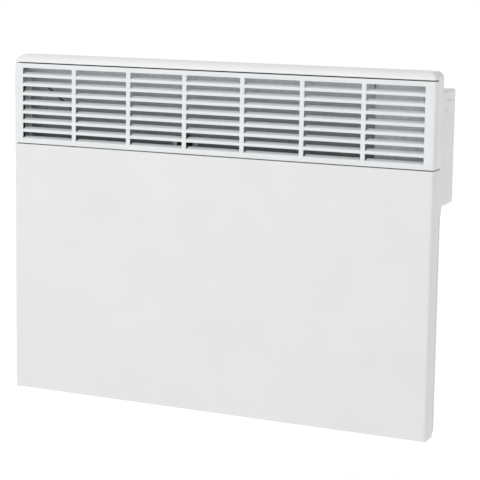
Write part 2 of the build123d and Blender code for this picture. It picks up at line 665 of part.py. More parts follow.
def main():
    os.makedirs("parts", exist_ok=True)
    save("front_panel", front_panel())
    save("outlet_grille", outlet_grille())
    save("top_shell", top_shell())
    save("rear_panel", rear_panel())
    save("inlet_guard", inlet_guard())
    save("air_baffle", air_baffle())
    save("control_partition", control_partition())
    save("element_body", element_body())
    save("element_rod", element_rod())
    save("element_bushes", *both_sides(element_bush()))
    save("element_brackets", *both_sides(element_bracket()))
    save("element_terminals", *both_sides(element_terminal()))
    save("thermal_cutout", thermal_cutout())
    save("cutout_bracket", cutout_bracket())
    save("control_box", control_box())
    save("control_cover", control_cover())
    save("display_window", display_window())
    save("display_module", display_module())
    save("indicator_lamp", indicator_lamp())
    save("control_pcb", control_pcb())
    save("power_pcb", power_pcb())
    save("relay", relay())
    save("smoothing_capacitor", smoothing_capacitor())
    save("triac_heatsink", triac_heatsink())
    save("power_triac", power_triac())
    save("mains_transformer", mains_transformer())
    save("terminal_block", terminal_block())
    save("terminal_screws", *terminal_screws())
    save("switch_body", switch_body())
    save("rocker", rocker())
    for name, (x, y) in KEY_PLACES.items():
        save(f"key_{name}", key(x, y))
    save("tact_switches", *[tact_switch(x, y) for x, y in KEY_PLACES.values()])
    save("cable_gland", cable_gland())
    save("room_sensor", room_sensor())
    save("lead_grommet", lead_grommet())
    save("earth_stud", earth_stud())
    save("lead_live", lead_live())
    save("lead_neutral", lead_neutral())
    save("lead_return", lead_return())
    save("lead_earth", lead_earth())
    save("lead_sensor", lead_sensor())
    save("supply_leads", *supply_leads())
    save("case_screws", *[screw_forward(x, z, BOX_FRONT + 2, 3.2, 24) for x, z in case_screw_places()])
    save("box_screws", *[screw_up(x, y, 377.6, 3.2, 2.4, 1.5, 403) for x, y in BOSS_PLACES])
    save("pcb_screws", *[screw_up(x, y, PCB_LOW - 1.6, 2, 1.6, 1.05, BOX_TOP - 6) for x, y in pcb_post_places()])
    save("pivot_hooks", pivot_hook(1), pivot_hook(-1))
    save("catch_fins", *both_sides(catch_fin()))
    save("back_pads", *both_sides(buffer()))
    save("wall_rail_right", wall_rail())
    save("wall_rail_left", mirror(wall_rail(), Plane.YZ))
    save("crossbar_top", crossbar_top())
    save("crossbar_bottom", crossbar(60, 84))
    save("pivot_pins", *both_sides(pivot_pin()))
    save("spring_clips", *both_sides(spring_clip()))
    save("clip_rivets", *[clip_rivet(side * CLIP_X + x) for side in (-1, 1) for x in (-6, 6)])


main()
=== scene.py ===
"""Wall panel convector heater: sheet metal, mouldings and finishes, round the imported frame."""

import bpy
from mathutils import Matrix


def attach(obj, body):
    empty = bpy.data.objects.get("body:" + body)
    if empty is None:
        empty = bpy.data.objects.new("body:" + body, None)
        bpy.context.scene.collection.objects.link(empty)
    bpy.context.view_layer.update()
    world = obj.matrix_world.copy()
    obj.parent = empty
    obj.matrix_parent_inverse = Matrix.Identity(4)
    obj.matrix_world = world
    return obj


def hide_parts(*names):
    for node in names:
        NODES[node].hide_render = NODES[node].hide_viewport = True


bl_info = {
    "name": "Wall panel convector heater",
    "version": (1, 0, 0),
    "blender": (4, 5, 0),
    "location": "View3D > Sidebar > Heater",
    "description": "Makes a wall panel heater piece by piece, with its finishes and a studio",
    "category": "Object",
}

import bmesh
import bpy
import numpy as np
from mathutils import Matrix, Vector

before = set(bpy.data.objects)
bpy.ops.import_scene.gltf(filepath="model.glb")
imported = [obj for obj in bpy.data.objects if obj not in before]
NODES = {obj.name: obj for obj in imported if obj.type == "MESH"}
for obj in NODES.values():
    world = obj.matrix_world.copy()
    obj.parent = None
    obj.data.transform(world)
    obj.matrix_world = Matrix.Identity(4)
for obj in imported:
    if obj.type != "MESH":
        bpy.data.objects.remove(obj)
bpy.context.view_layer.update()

MM = 0.001
# The heater's own datum is the middle of its front, at the bottom; the frame's is the wall.
DATUM = np.array([0.0, 90.0, 230.0])
# Where the grille's side walls end, in depth.
GRILLE_REAR = 10.5
# Middles of the three keys, in X and Y.
KEYS = {"plus": (212.5, 67.8), "minus": (212.5, 56.0), "mode": (232.8, 55.8)}


# Sizes and colours that a user would change


class HeaterSizes(bpy.types.PropertyGroup):
    """Sizes of the sheet metal, in millimetres on the heater's own datum."""

    half_width: bpy.props.FloatProperty(
        name="Half width", description="From the middle to a side", default=288.0, min=100.0)
    height: bpy.props.FloatProperty(
        name="Height", description="Bottom edge to the top", default=448.2, min=200.0)
    sheet: bpy.props.FloatProperty(
        name="Sheet", description="Thickness of the casing's sheet", default=1.0, min=0.4)
    edge_radius: bpy.props.FloatProperty(
        name="Upright edges", description="Radius of the front panel's upright edges", default=3.4,
        min=1.0)
    grille_radius: bpy.props.FloatProperty(
        name="Grille's upright edges", description="Radius of the grille's upright edges",
        default=2.4, min=1.0)
    grille_low: bpy.props.FloatProperty(
        name="Grille's lower seam", description="Height of the lower seam", default=331.2)
    grille_top: bpy.props.FloatProperty(
        name="Grille's upper seam", description="Height of the upper seam", default=438.0)
    seam: bpy.props.FloatProperty(
        name="Seam", description="Gap between two sheets", default=1.2, min=0.1)
    upper_seam: bpy.props.FloatProperty(
        name="Upper seam", description="Gap between the grille and the cap", default=1.6, min=0.1)
    columns: bpy.props.IntProperty(
        name="Slot columns", description="Columns of slots", default=7, min=1)
    rows: bpy.props.IntProperty(name="Slot rows", description="Rows of slots", default=8, min=1)
    column_pitch: bpy.props.FloatProperty(
        name="Column pitch", description="From slot to slot along a row", default=79.45)
    row_pitch: bpy.props.FloatProperty(
        name="Row pitch", description="From slot to slot down a column", default=12.08)
    slot_width: bpy.props.FloatProperty(
        name="Slot width", description="Length of one slot", default=73.7)
    slot_height: bpy.props.FloatProperty(
        name="Slot height", description="Height of one slot", default=8.3)
    first_slot_top: bpy.props.FloatProperty(
        name="First slot", description="Upper edge of the highest row", default=431.2)
    slot_corner: bpy.props.FloatProperty(
        name="Slot corners", description="Radius of a slot's upper corners", default=1.1)
    blade_depth: bpy.props.FloatProperty(
        name="Blade depth", description="How far a blade reaches back", default=6.6)
    blade_rise: bpy.props.FloatProperty(
        name="Blade rise", description="Height of a blade's free edge over its slot", default=2.8)
    blade_taper: bpy.props.FloatProperty(
        name="Blade taper", description="How much a blade narrows at each end", default=1.3)
    cap_front: bpy.props.FloatProperty(
        name="Cap's front radius", description="Radius along the top's front", default=11.0)
    cap_side: bpy.props.FloatProperty(
        name="Cap's side radius", description="Radius along the top's ends", default=9.0)


class HeaterColours(bpy.types.PropertyGroup):
    """Main colours of the finishes."""

    casing: bpy.props.FloatVectorProperty(
        name="Casing", description="Powder coat of the casing", subtype="COLOR",
        default=(0.705, 0.705, 0.70), min=0, max=1)
    grille: bpy.props.FloatVectorProperty(
        name="Grille", description="Powder coat of the grille", subtype="COLOR",
        default=(0.70, 0.725, 0.733), min=0, max=1)
    moulding: bpy.props.FloatVectorProperty(
        name="Control box", description="Plastic of the control box", subtype="COLOR",
        default=(0.755, 0.755, 0.745), min=0, max=1)
    print_ink: bpy.props.FloatVectorProperty(
        name="Print", description="Ink of the marks by the keys", subtype="COLOR",
        default=(0.08, 0.08, 0.085), min=0, max=1)


class StudioSettings(bpy.types.PropertyGroup):
    """Floor and light."""

    floor_drop: bpy.props.FloatProperty(
        name="Floor", description="Floor below the heater's bottom edge", default=0.25,
        unit="LENGTH")
    surround: bpy.props.FloatProperty(
        name="Surround", description="Brightness of the pale surround", default=1.0, min=0)
    right_shade: bpy.props.FloatProperty(
        name="Right side", description="Brightness of the surround to the right",
        default=0.71, min=0)
    rear_shade: bpy.props.FloatProperty(
        name="Behind, above", description="Brightness of the surround high behind the heater",
        default=0.25, min=0)
    key_light: bpy.props.FloatProperty(
        name="Key light", description="Power of the soft light over the front", default=5.2,
        unit="POWER")


# Shapes


def arc(centre, radius, start, end, steps):
    """Points of a circle: centre + radius (cos t, sin t), with t from start to end in degrees."""
    t = np.radians(np.linspace(start, end, steps + 1))
    return np.stack([centre[0] + radius * np.cos(t), centre[1] + radius * np.sin(t)], -1)


def quads_of(rows, columns, close_rows=False, close_columns=False):
    """Corner numbers of the quads between neighbours of a rows x columns grid of points."""
    number = np.arange(rows * columns).reshape(rows, columns)
    if close_rows:
        number = np.vstack([number, number[:1]])
    if close_columns:
        number = np.hstack([number, number[:, :1]])
    corners = [number[:-1, :-1], number[:-1, 1:], number[1:, 1:], number[1:, :-1]]
    return np.stack(corners, -1)


def grid(points, keep=None, close_rows=False, close_columns=False):
    """A surface through a (rows, columns, 3) array of points, without the quads where keep is
    false."""
    quads = quads_of(*points.shape[:2], close_rows, close_columns)
    quads = quads[keep] if keep is not None else quads.reshape(-1, 4)
    return points.reshape(-1, 3), quads.tolist()


def raised(outline, levels):
    """An outline of (X, Y) points carried up Z: the point (level, place) is (X, Y, level)."""
    points = np.empty((len(levels), len(outline), 3))
    points[..., :2] = outline
    points[..., 2] = np.asarray(levels)[:, None]
    return points


def flat_face(points):
    """One face through points in their order round it."""
    return points, [list(range(len(points)))]


def upright(x0, x1, z0, z1, y):
    """A flat strip that faces forward at depth Y, with its corners in order round it."""
    x0, x1 = sorted((x0, x1))
    return flat_face(np.array([(x0, y, z0), (x1, y, z0), (x1, y, z1), (x0, y, z1)], float))


def ribbon(path, width, level, closed=False):
    """A flat band on a level top: each (X, Y) point of the path goes half the width to either
    side, along the path's normal there."""
    path = np.asarray(path, float)
    if closed:
        step = np.roll(path, -1, 0) - np.roll(path, 1, 0)
    else:
        step = np.gradient(path, axis=0)
    normal = np.stack([-step[:, 1], step[:, 0]], -1) / np.linalg.norm(step, axis=1)[:, None]
    sides = path[:, None] + normal[:, None] * np.array([0.5, -0.5])[:, None] * width
    heights = np.full((*sides.shape[:2], 1), float(level))
    return grid(np.concatenate([sides, heights], -1), close_rows=closed)


def ring(centre, radius, width, level, steps=40):
    """A flat ring: a ribbon along a whole circle."""
    return ribbon(arc(centre, radius, 0, 360 - 360 / steps, steps - 1), width, level, closed=True)


def make(name, surfaces, finish, body, stands_for=(), crease=38, thick=None, edge=0.0):
    """One piece from its surfaces, in millimetres on the heater's datum: joined, their common
    points merged, given its sheet's thickness behind the surface and its rounded cut edges."""
    counts = np.cumsum([0] + [len(points) for points, faces in surfaces])
    points = np.concatenate([points for points, faces in surfaces])
    faces = [[k + start for k in face] for start, (p, fs) in zip(counts, surfaces) for face in fs]
    mesh = bpy.data.meshes.new(name)
    mesh.from_pydata(((points - DATUM) * MM).tolist(), [], faces)
    work = bmesh.new()
    work.from_mesh(mesh)
    bmesh.ops.remove_doubles(work, verts=work.verts, dist=2e-6)
    bmesh.ops.delete(work, geom=[v for v in work.verts if not v.link_faces], context="VERTS")
    work.to_mesh(mesh)
    work.free()
    mesh.shade_smooth()
    mesh.set_sharp_from_angle(angle=np.radians(crease))
    mesh.materials.append(finish)
    made = bpy.data.objects.new(name, mesh)
    bpy.context.scene.collection.objects.link(made)
    if thick:
        wall = made.modifiers.new("Sheet", "SOLIDIFY")
        wall.thickness, wall.offset = thick * MM, -1
        wall.use_even_offset = True
    if edge:
        rounding = made.modifiers.new("Cut edges", "BEVEL")
        rounding.width, rounding.segments = edge * MM, 2
        rounding.limit_method, rounding.angle_limit = "ANGLE", np.radians(50)
        rounding.harden_normals = False
    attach(made, body)
    if stands_for:
        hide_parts(*stands_for)
    return made


def dress(finish, *nodes):
    """Gives CAD nodes their finish."""
    for node in nodes:
        slots = NODES[node].data.materials
        slots.clear()
        slots.append(finish)


# Finishes

# A whole turn, for waves that are given by their length.
TURN = 6.28


class Finish:
    """A Principled material whose patterns are in millimetres on Object coordinates."""

    def __init__(self, name, colour, roughness, metallic=0.0, **constants):
        self.material = bpy.data.materials.new(name)
        self.material.use_nodes = True
        self.tree = self.material.node_tree
        self.shader = self.tree.nodes["Principled BSDF"]
        self.shader.inputs["Base Color"].default_value = (*colour, 1)
        self.shader.inputs["Roughness"].default_value = roughness
        self.shader.inputs["Metallic"].default_value = metallic
        for socket, value in constants.items():
            self.shader.inputs[socket.replace("_", " ")].default_value = value
        self.place = self.add("ShaderNodeTexCoord").outputs["Object"]

    def add(self, kind, **settings):
        """A new node of that kind, with its settings."""
        node = self.tree.nodes.new(kind)
        for key, value in settings.items():
            setattr(node, key, value)
        return node

    def link(self, output, socket):
        self.tree.links.new(output, socket)

    def stretched(self, x, y, z):
        """Object coordinates, drawn out along an axis whose factor is under 1."""
        mapping = self.add("ShaderNodeMapping")
        mapping.inputs["Scale"].default_value = (x, y, z)
        self.link(self.place, mapping.inputs["Vector"])
        return mapping.outputs["Vector"]

    def noise(self, size, detail=2.0, place=None):
        """Cloudy noise from 0 to 1, with spots of that size in millimetres."""
        node = self.add("ShaderNodeTexNoise")
        node.inputs["Scale"].default_value = 1 / (size * MM)
        node.inputs["Detail"].default_value = detail
        self.link(place or self.place, node.inputs["Vector"])
        return node.outputs["Fac"]

    def cells(self, size, feature="F1", output="Distance"):
        """Cells of that size in millimetres."""
        node = self.add("ShaderNodeTexVoronoi", feature=feature)
        node.inputs["Scale"].default_value = 1 / (size * MM)
        self.link(self.place, node.inputs["Vector"])
        return node.outputs[output]

    def ranged(self, value, low, high, to_low, to_high):
        """A value from low to high, stretched to go from to_low to to_high."""
        node = self.add("ShaderNodeMapRange")
        for socket, number in zip(("From Min", "From Max", "To Min", "To Max"),
                                  (low, high, to_low, to_high)):
            node.inputs[socket].default_value = number
        self.link(value, node.inputs["Value"])
        return node.outputs["Result"]

    def sum(self, first, second, operation="ADD"):
        """Two outputs or numbers, added or put through another operation."""
        node = self.add("ShaderNodeMath", operation=operation)
        for socket, value in zip(node.inputs, (first, second)):
            if isinstance(value, (int, float)):
                socket.default_value = value
            else:
                self.link(value, socket)
        return node.outputs[0]

    def between(self, share, first, second):
        """A colour from first to second as share goes from 0 to 1; either may be an output."""
        node = self.add("ShaderNodeMix", data_type="RGBA")
        self.link(share, node.inputs["Factor"])
        for socket, colour in zip((node.inputs[6], node.inputs[7]), (first, second)):
            if isinstance(colour, tuple):
                socket.default_value = (*colour, 1)
            else:
                self.link(colour, socket)
        return node.outputs[2]

    def colour(self, output):
        self.link(output, self.shader.inputs["Base Color"])
        return self

    def roughness(self, output):
        self.link(output, self.shader.inputs["Roughness"])
        return self

    def bump(self, height, depth, strength=1.0):
        """Relief of that depth in millimetres, where height goes from 0 to 1."""
        node = self.add("ShaderNodeBump")
        node.inputs["Distance"].default_value = depth * MM
        node.inputs["Strength"].default_value = strength
        self.link(height, node.inputs["Height"])
        self.link(node.outputs["Normal"], self.shader.inputs["Normal"])
        return self


def times(colour, factor):
    """A colour made lighter or darker, up to white."""
    return tuple(min(1.0, channel * factor) for channel in colour)


def powder_coat(name, colour):
    """Baked powder: a fine orange peel, a faint cloudiness in the white and in the gloss."""
    f = Finish(name, colour, 0.38)
    cloud = f.ranged(f.noise(55, 2), 0.3, 0.7, 0, 1)
    f.colour(f.between(cloud, times(colour, 0.985), times(colour, 1.01)))
    f.roughness(f.ranged(f.noise(2.2, 3), 0.3, 0.7, 0.34, 0.43))
    peel = f.sum(f.noise(1.3, 2), f.sum(f.noise(0.45, 1), 0.35, "MULTIPLY"))
    return f.bump(peel, 0.012, 0.7).material


def moulded(name, colour, roughness=0.5, grain=0.35, depth=0.01):
    """Moulded plastic: an etched grain, and slight flow shading."""
    f = Finish(name, colour, roughness)
    shade = f.ranged(f.noise(28, 2), 0.3, 0.7, 0, 1)
    f.colour(f.between(shade, times(colour, 0.97), times(colour, 1.015)))
    f.roughness(f.ranged(f.noise(grain * 2, 2), 0.3, 0.7, roughness - 0.06, roughness + 0.06))
    return f.bump(f.cells(grain, "SMOOTH_F1"), depth, 0.6).material


def galvanised(name, colour):
    """Hot-dipped zinc: crystals of different brightness, with rolling streaks under them."""
    f = Finish(name, colour, 0.42, metallic=0.85)
    tone = f.add("ShaderNodeSeparateColor")
    f.link(f.cells(7, output="Color"), tone.inputs["Color"])
    crystal = tone.outputs["Red"]
    streak = f.noise(1.5, 3, f.stretched(0.06, 1, 1))
    both = f.sum(f.sum(crystal, 0.7, "MULTIPLY"), f.sum(streak, 0.4, "MULTIPLY"))
    f.colour(f.between(both, times(colour, 0.8), times(colour, 1.15)))
    f.roughness(f.ranged(crystal, 0, 1, 0.34, 0.52))
    return f.bump(f.sum(streak, f.cells(7)), 0.01, 0.4).material


def zinc_with_painted_shade(name, colour, levels, shares):
    """Dull zinc sheet with painted shade: each height of levels, in millimetres on the heater's
    datum, has its share of the colour, darker low in the casing and almost black at the top,
    with crystals and streaks over it."""
    f = Finish(name, colour, 0.5, metallic=0.25)
    split = f.add("ShaderNodeSeparateXYZ")
    f.link(f.place, split.inputs[0])
    low, high = levels[0], levels[-1]
    height = f.ranged(split.outputs["Z"], (low - DATUM[2]) * MM, (high - DATUM[2]) * MM, 0, 1)
    ramp = f.add("ShaderNodeValToRGB")
    stops = ramp.color_ramp.elements
    while len(stops) < len(levels):
        stops.new(0.5)
    for stop, level, share in zip(stops, levels, shares):
        stop.position = (level - low) / (high - low)
        stop.color = (*times(colour, share), 1)
    f.link(height, ramp.inputs["Fac"])
    crystal = f.ranged(f.noise(5, 2), 0.3, 0.7, 0, 1)
    darker = f.add("ShaderNodeMix", data_type="RGBA", blend_type="MULTIPLY")
    f.link(crystal, darker.inputs["Factor"])
    f.link(ramp.outputs["Color"], darker.inputs[6])
    darker.inputs[7].default_value = (0.86, 0.86, 0.86, 1)
    f.colour(darker.outputs[2])
    f.roughness(f.ranged(crystal, 0, 1, 0.44, 0.6))
    return f.bump(f.noise(1.5, 3, f.stretched(0.06, 1, 1)), 0.01, 0.4).material


def plated(name, colour, roughness=0.3):
    """Zinc-plated steel: faint rolling marks, a little dulled in patches."""
    f = Finish(name, colour, roughness, metallic=1.0)
    patch = f.noise(3, 3)
    f.colour(f.between(patch, times(colour, 0.85), times(colour, 1.1)))
    f.roughness(f.ranged(patch, 0.3, 0.7, roughness - 0.08, roughness + 0.12))
    return f.bump(f.noise(0.3, 2), 0.004, 0.5).material


def drawn_aluminium(name, colour, along=(0.04, 1, 1)):
    """Extruded aluminium: long die lines and a dull oxide."""
    f = Finish(name, colour, 0.4, metallic=1.0)
    lines = f.noise(0.6, 3, f.stretched(*along))
    f.colour(f.between(lines, times(colour, 0.82), times(colour, 1.08)))
    f.roughness(f.ranged(lines, 0.3, 0.7, 0.32, 0.5))
    return f.bump(lines, 0.01, 0.5).material


def ceramic(name, colour):
    """Unglazed steatite: fine pits and faint warm specks."""
    f = Finish(name, colour, 0.62)
    f.colour(f.between(f.ranged(f.cells(0.8), 0.0, 0.25, 1, 0), colour, times(colour, 0.8)))
    return f.bump(f.noise(0.5, 3), 0.03, 0.6).material


def rubber(name, colour, roughness=0.68):
    """Moulded rubber or silicone: matt, with a dusty bloom."""
    f = Finish(name, colour, roughness)
    bloom = f.noise(4, 4)
    f.colour(f.between(bloom, times(colour, 0.85), tuple(c + 0.02 for c in colour)))
    f.roughness(f.ranged(bloom, 0.3, 0.7, roughness - 0.1, roughness + 0.08))
    return f.bump(f.noise(0.4, 2), 0.012, 0.5).material


def circuit_board(name, colour):
    """Solder mask over copper: square tracks show lighter, with tinned dots."""
    f = Finish(name, colour, 0.34)
    tracks = f.add("ShaderNodeTexBrick", offset=0.37, squash=0.6)
    tracks.inputs["Scale"].default_value = 1 / (9 * MM)
    tracks.inputs["Mortar Size"].default_value = 0.09
    tracks.inputs["Mortar Smooth"].default_value = 0.1
    f.link(f.place, tracks.inputs["Vector"])
    share = tracks.outputs["Fac"]
    masked = f.between(share, colour, times(colour, 1.7))
    dots = f.ranged(f.cells(4.2), 0.14, 0.17, 1, 0)
    f.colour(f.between(dots, masked, (0.62, 0.62, 0.6)))
    return f.bump(f.sum(share, dots), 0.035, 0.8).material


def taped_winding(name, colour):
    """Yellow tape in turns over laminated iron."""
    f = Finish(name, colour, 0.35)
    turns = f.add("ShaderNodeTexWave", wave_type="BANDS", bands_direction="Z")
    turns.inputs["Scale"].default_value = 1 / (2.2 * MM * TURN)
    turns.inputs["Distortion"].default_value = 0.4
    f.link(f.place, turns.inputs["Vector"])
    f.colour(f.between(turns.outputs["Fac"], times(colour, 0.75), colour))
    return f.bump(turns.outputs["Fac"], 0.05, 0.6).material


def striped_lead(name, first, second):
    """Green insulation with a spiral yellow stripe."""
    f = Finish(name, first, 0.5)
    wave = f.add("ShaderNodeTexWave", wave_type="BANDS", bands_direction="DIAGONAL")
    wave.inputs["Scale"].default_value = 1 / (4 * MM * TURN)
    f.link(f.place, wave.inputs["Vector"])
    f.colour(f.between(f.ranged(wave.outputs["Fac"], 0.45, 0.55, 0, 1), first, second))
    return f.bump(f.noise(0.5, 2), 0.01, 0.5).material


def dark_display(name):
    """Clear cover over an unlit display: almost black, with a fainter field under the glass."""
    f = Finish(name, (0.012, 0.013, 0.014), 0.2, Specular_IOR_Level=0.16)
    haze = f.noise(6, 3)
    f.colour(f.between(haze, (0.009, 0.01, 0.011), (0.016, 0.017, 0.018)))
    f.roughness(f.ranged(haze, 0.3, 0.7, 0.14, 0.24))
    return f.bump(f.noise(12, 1), 0.02, 0.3).material


def lens(name, colour):
    """A diffusing lamp lens."""
    f = Finish(name, colour, 0.2, Transmission_Weight=0.35, IOR=1.49)
    f.colour(f.between(f.noise(0.6, 2), times(colour, 0.9), colour))
    return f.bump(f.cells(0.4), 0.01, 0.4).material


# Pieces


class Maker:
    """What every operator of this panel shares."""

    bl_options = {"REGISTER", "UNDO"}

    def sizes(self, context):
        return context.scene.heater_sizes

    def colours(self, context):
        return context.scene.heater_colours


def finish_of(name, maker, *values):
    """The finish of that name, made the first time it is asked for."""
    return bpy.data.materials.get(name) or maker(name, *values)


def round_the_front(half, radius, back, front_places, steps=8):
    """Plan of a U-shaped sheet's outside: side, rounded upright edge, front, edge, side."""
    right = np.vstack([arc((half - radius, radius), radius, -90, 0, steps), back])
    left = right[::-1] * (-1, 1)
    front = np.stack([front_places, np.zeros(len(front_places))], -1)
    return np.vstack([left, front, right])


class HEATER_OT_front_panel(Maker, bpy.types.Operator):
    """The plain front: side returns, turned-in rear flanges, an upper and a lower lip"""

    bl_idname = "heater.front_panel"
    bl_label = "Front panel"

    def execute(self, context):
        s = self.sizes(context)
        # The side walls reach depth, and their flanges turn in as far as X flange.
        depth, flange, fold = 28.0, 278.0, 1.5
        # Both lips reach back to lip, and the upper one falls by slope degrees.
        lip, slope, bend = 9.0, 21.8, 1.3
        top = s.grille_low - s.seam / 2
        back = np.vstack([arc((s.half_width - fold, depth - fold), fold, 0, 90, 5),
                          [(flange, depth)]])
        ends = s.half_width - s.edge_radius - 1.0
        places = np.linspace(-ends, ends, 25)
        plan = round_the_front(s.half_width, s.edge_radius, back, places)
        levels = [0, bend, *np.linspace(40, top - 40, 8), top - bend, top]
        sheet = raised(plan, levels)
        in_front = np.isin(np.round(plan[:, 0], 6), np.round(places, 6)) & (plan[:, 1] == 0)
        between = in_front[:-1] & in_front[1:]
        keep = np.ones((len(levels) - 1, len(plan) - 1), bool)
        keep[0, between] = keep[-1, between] = False
        down = arc((bend, bend), bend, 180, 270, 5)
        profile = np.vstack([[(lip, 0)], down[::-1]])
        lower = np.empty((len(profile), len(places), 3))
        lower[..., 0] = places
        lower[..., 1:] = profile[:, None]
        over = arc((bend, top - bend), bend, 180, 90 - slope, 7)
        rear = over[-1] + (lip - over[-1, 0]) * np.array([1, -np.tan(np.radians(slope))])
        upper = np.empty((len(over) + 1, len(places), 3))
        upper[..., 0] = places
        upper[..., 1:] = np.vstack([over, [rear]])[:, None]
        coat = finish_of("Casing powder coat", powder_coat, tuple(self.colours(context).casing))
        make("front_panel_sheet", [grid(sheet, keep), grid(lower), grid(upper)], coat, "heater",
             ["front_panel"], thick=s.sheet, edge=0.2)
        return {"FINISHED"}


class HEATER_OT_outlet_grille(Maker, bpy.types.Operator):
    """The outlet sheet: each slot's blade bends back and up from its lower edge"""

    bl_idname = "heater.outlet_grille"
    bl_label = "Outlet grille"

    def execute(self, context):
        s = self.sizes(context)
        half_slot, corner = s.slot_width / 2, s.slot_corner
        # How far a corner's circle is from its square at 22.5, 45 and 67.5 degrees, as shares of
        # its radius.
        early, middle, late = 0.076, 0.293, 0.617
        middles = (np.arange(s.columns) - (s.columns - 1) / 2) * s.column_pitch
        steps = np.array([0, late * corner, corner])
        across = np.concatenate([-half_slot + steps, [-12, 12], half_slot - steps[::-1]])
        places = (middles[:, None] + across).ravel()
        plan = round_the_front(s.half_width, s.grille_radius,
                               [(s.half_width, 6), (s.half_width, GRILLE_REAR)], places)
        # A blade's root lies sink below its slot, and its bend turns through turn degrees.
        bend, turn, sink = 1.8, 66, 1.3
        tops = s.first_slot_top - np.arange(s.rows)[::-1] * s.row_pitch
        roots = tops - s.slot_height - sink
        levels = np.stack([roots, tops - corner, tops - late * corner, tops], -1).ravel()
        levels = np.concatenate([[s.grille_low + s.seam / 2], levels,
                                 [s.grille_top - s.upper_seam / 2]])
        sheet = raised(plan, levels)
        first = len(plan) // 2 - len(places) // 2
        column = first + np.arange(s.columns)[:, None] * len(across)
        keep = np.ones((len(levels) - 1, len(plan) - 1), bool)
        for row in range(s.rows):
            for start in column.ravel():
                keep[1 + 4 * row:4 + 4 * row, start:start + len(across) - 1] = False
        # A slot's upper corners: three points of each are drawn in to lie on its radius.
        for side, edge in ((1, column), (-1, column + len(across) - 1)):
            for shift_x, shift_z, out, down in ((early, 0.0, 0, 1), (middle, middle, 0, 0),
                                                (0.0, early, 1, 0)):
                rows = 4 + 4 * np.arange(s.rows)[None] - down
                sheet[rows, edge + side * out, 0] += side * corner * shift_x
                sheet[rows, edge + side * out, 2] -= corner * shift_z
        # One blade's profile in (Y, Z) from its root, then along every slot.
        curve = arc((bend, 0), bend, 180, 180 - turn, 6)
        free = np.array([s.blade_depth, sink + s.blade_rise])
        straight = curve[-1] + (free - curve[-1]) * np.linspace(0.25, 1, 4)[:, None]
        profile = np.vstack([curve, straight])
        narrowing = 1 - s.blade_taper / half_slot * profile[:, 0] / s.blade_depth
        blade = np.empty((s.rows, s.columns, len(profile), len(across), 3))
        blade[..., 0] = middles[None, :, None, None] + across * narrowing[:, None]
        blade[..., 1] = profile[:, :1]
        blade[..., 2] = roots[:, None, None, None] + profile[:, 1:]
        blades = [grid(b) for b in blade.reshape(-1, len(profile), len(across), 3)]
        coat = finish_of("Grille powder coat", powder_coat, tuple(self.colours(context).grille))
        make("outlet_grille_sheet", [grid(sheet, keep), *blades], coat, "heater",
             ["outlet_grille"], thick=s.sheet, edge=0.18)
        return {"FINISHED"}


class HEATER_OT_top_shell(Maker, bpy.types.Operator):
    """The pressed cap: its front and ends roll over into the top, and meet in ball-like corners"""

    bl_idname = "heater.top_shell"
    bl_label = "Top shell"

    def execute(self, context):
        s = self.sizes(context)
        rear, seam_low = 31.0, s.grille_top + s.upper_seam / 2
        side_start = GRILLE_REAR + s.seam / 2
        turns = np.radians(np.linspace(0, 90, 15))
        heights = seam_low + (s.height - seam_low) * np.sin(turns)
        front = s.cap_front - np.sqrt(
            np.maximum(0, s.cap_front**2 - (heights - s.height + s.cap_front).clip(0) ** 2))
        side = s.cap_side - np.sqrt(
            np.maximum(0, s.cap_side**2 - (heights - s.height + s.cap_side).clip(0) ** 2))
        # Seen from above, a corner's radius grows from 3.2 at the seam to 5 at the top.
        share = (heights - seam_low) / (s.height - seam_low)
        plan_radius = 3.2 + 1.8 * share**1.5
        corner_end = front + plan_radius
        at_start = (rear - side_start) / (rear - corner_end[0])
        along = np.array([0, 0.25, 0.5, 0.7, at_start, 0.92, 1.0])
        half = s.half_width - side
        side_y = rear + (corner_end - rear)[:, None] * along
        right_side = np.stack([np.broadcast_to(half[:, None], side_y.shape), side_y], -1)[:, ::-1]
        angle = np.radians(np.linspace(-90, 0, 13))[None]
        corner = np.stack([
            (half - plan_radius)[:, None] + plan_radius[:, None] * np.cos(angle),
            corner_end[:, None] + plan_radius[:, None] * np.sin(angle)], -1)
        right = np.concatenate([corner, right_side[:, 1:]], 1)
        left = right[:, ::-1] * (-1, 1)
        middle = np.linspace(-1, 1, 21)[1:-1]
        run = np.stack([(half - plan_radius)[:, None] * middle,
                        np.broadcast_to(front[:, None], (len(front), len(middle)))], -1)
        plan = np.concatenate([left, run, right], 1)
        rolled = np.concatenate([plan, np.broadcast_to(heights[:, None, None],
                                                       (*plan.shape[:2], 1))], -1)
        top = flat_face(rolled[-1])
        walls = []
        for columns in (slice(0, 5), slice(-5, None)):
            lower = np.repeat(rolled[:1, columns], 6, axis=0).copy()
            lower[..., 2] = np.linspace(s.grille_low + s.seam / 2, seam_low, 6)[:, None]
            lower[:-1, :, 0] = np.sign(lower[:-1, :, 0]) * s.half_width
            walls.append(grid(lower))
        lip = np.empty((2, 2, 3))
        lip[..., 0] = np.array([-272.0, 272.0])
        lip[..., 1] = np.array([7.0, 1.3])[:, None]
        lip[..., 2] = seam_low
        # Flanges that the rear panel lies against, down the side walls and at the top's ends.
        flange_y, split = 27, 430
        hidden = []
        for side in (-1, 1):
            hidden.append(upright(side * 278, side * 287, s.grille_low + 1, split, flange_y))
        for side in (-1, 1):
            hidden.append(upright(side * 250, side * 274, split, s.height - 1, flange_y))
        # The cap is the casing's coat made 5 % lighter: painted light, for the top that catches
        # more of the light.
        white = times(tuple(self.colours(context).casing), 1.05)
        coat = finish_of("Cap powder coat", powder_coat, white)
        make("top_shell_sheet", [grid(rolled), top, *walls, grid(lip), *hidden], coat, "heater",
             ["top_shell"], crease=50, thick=s.sheet, edge=0.2)
        return {"FINISHED"}


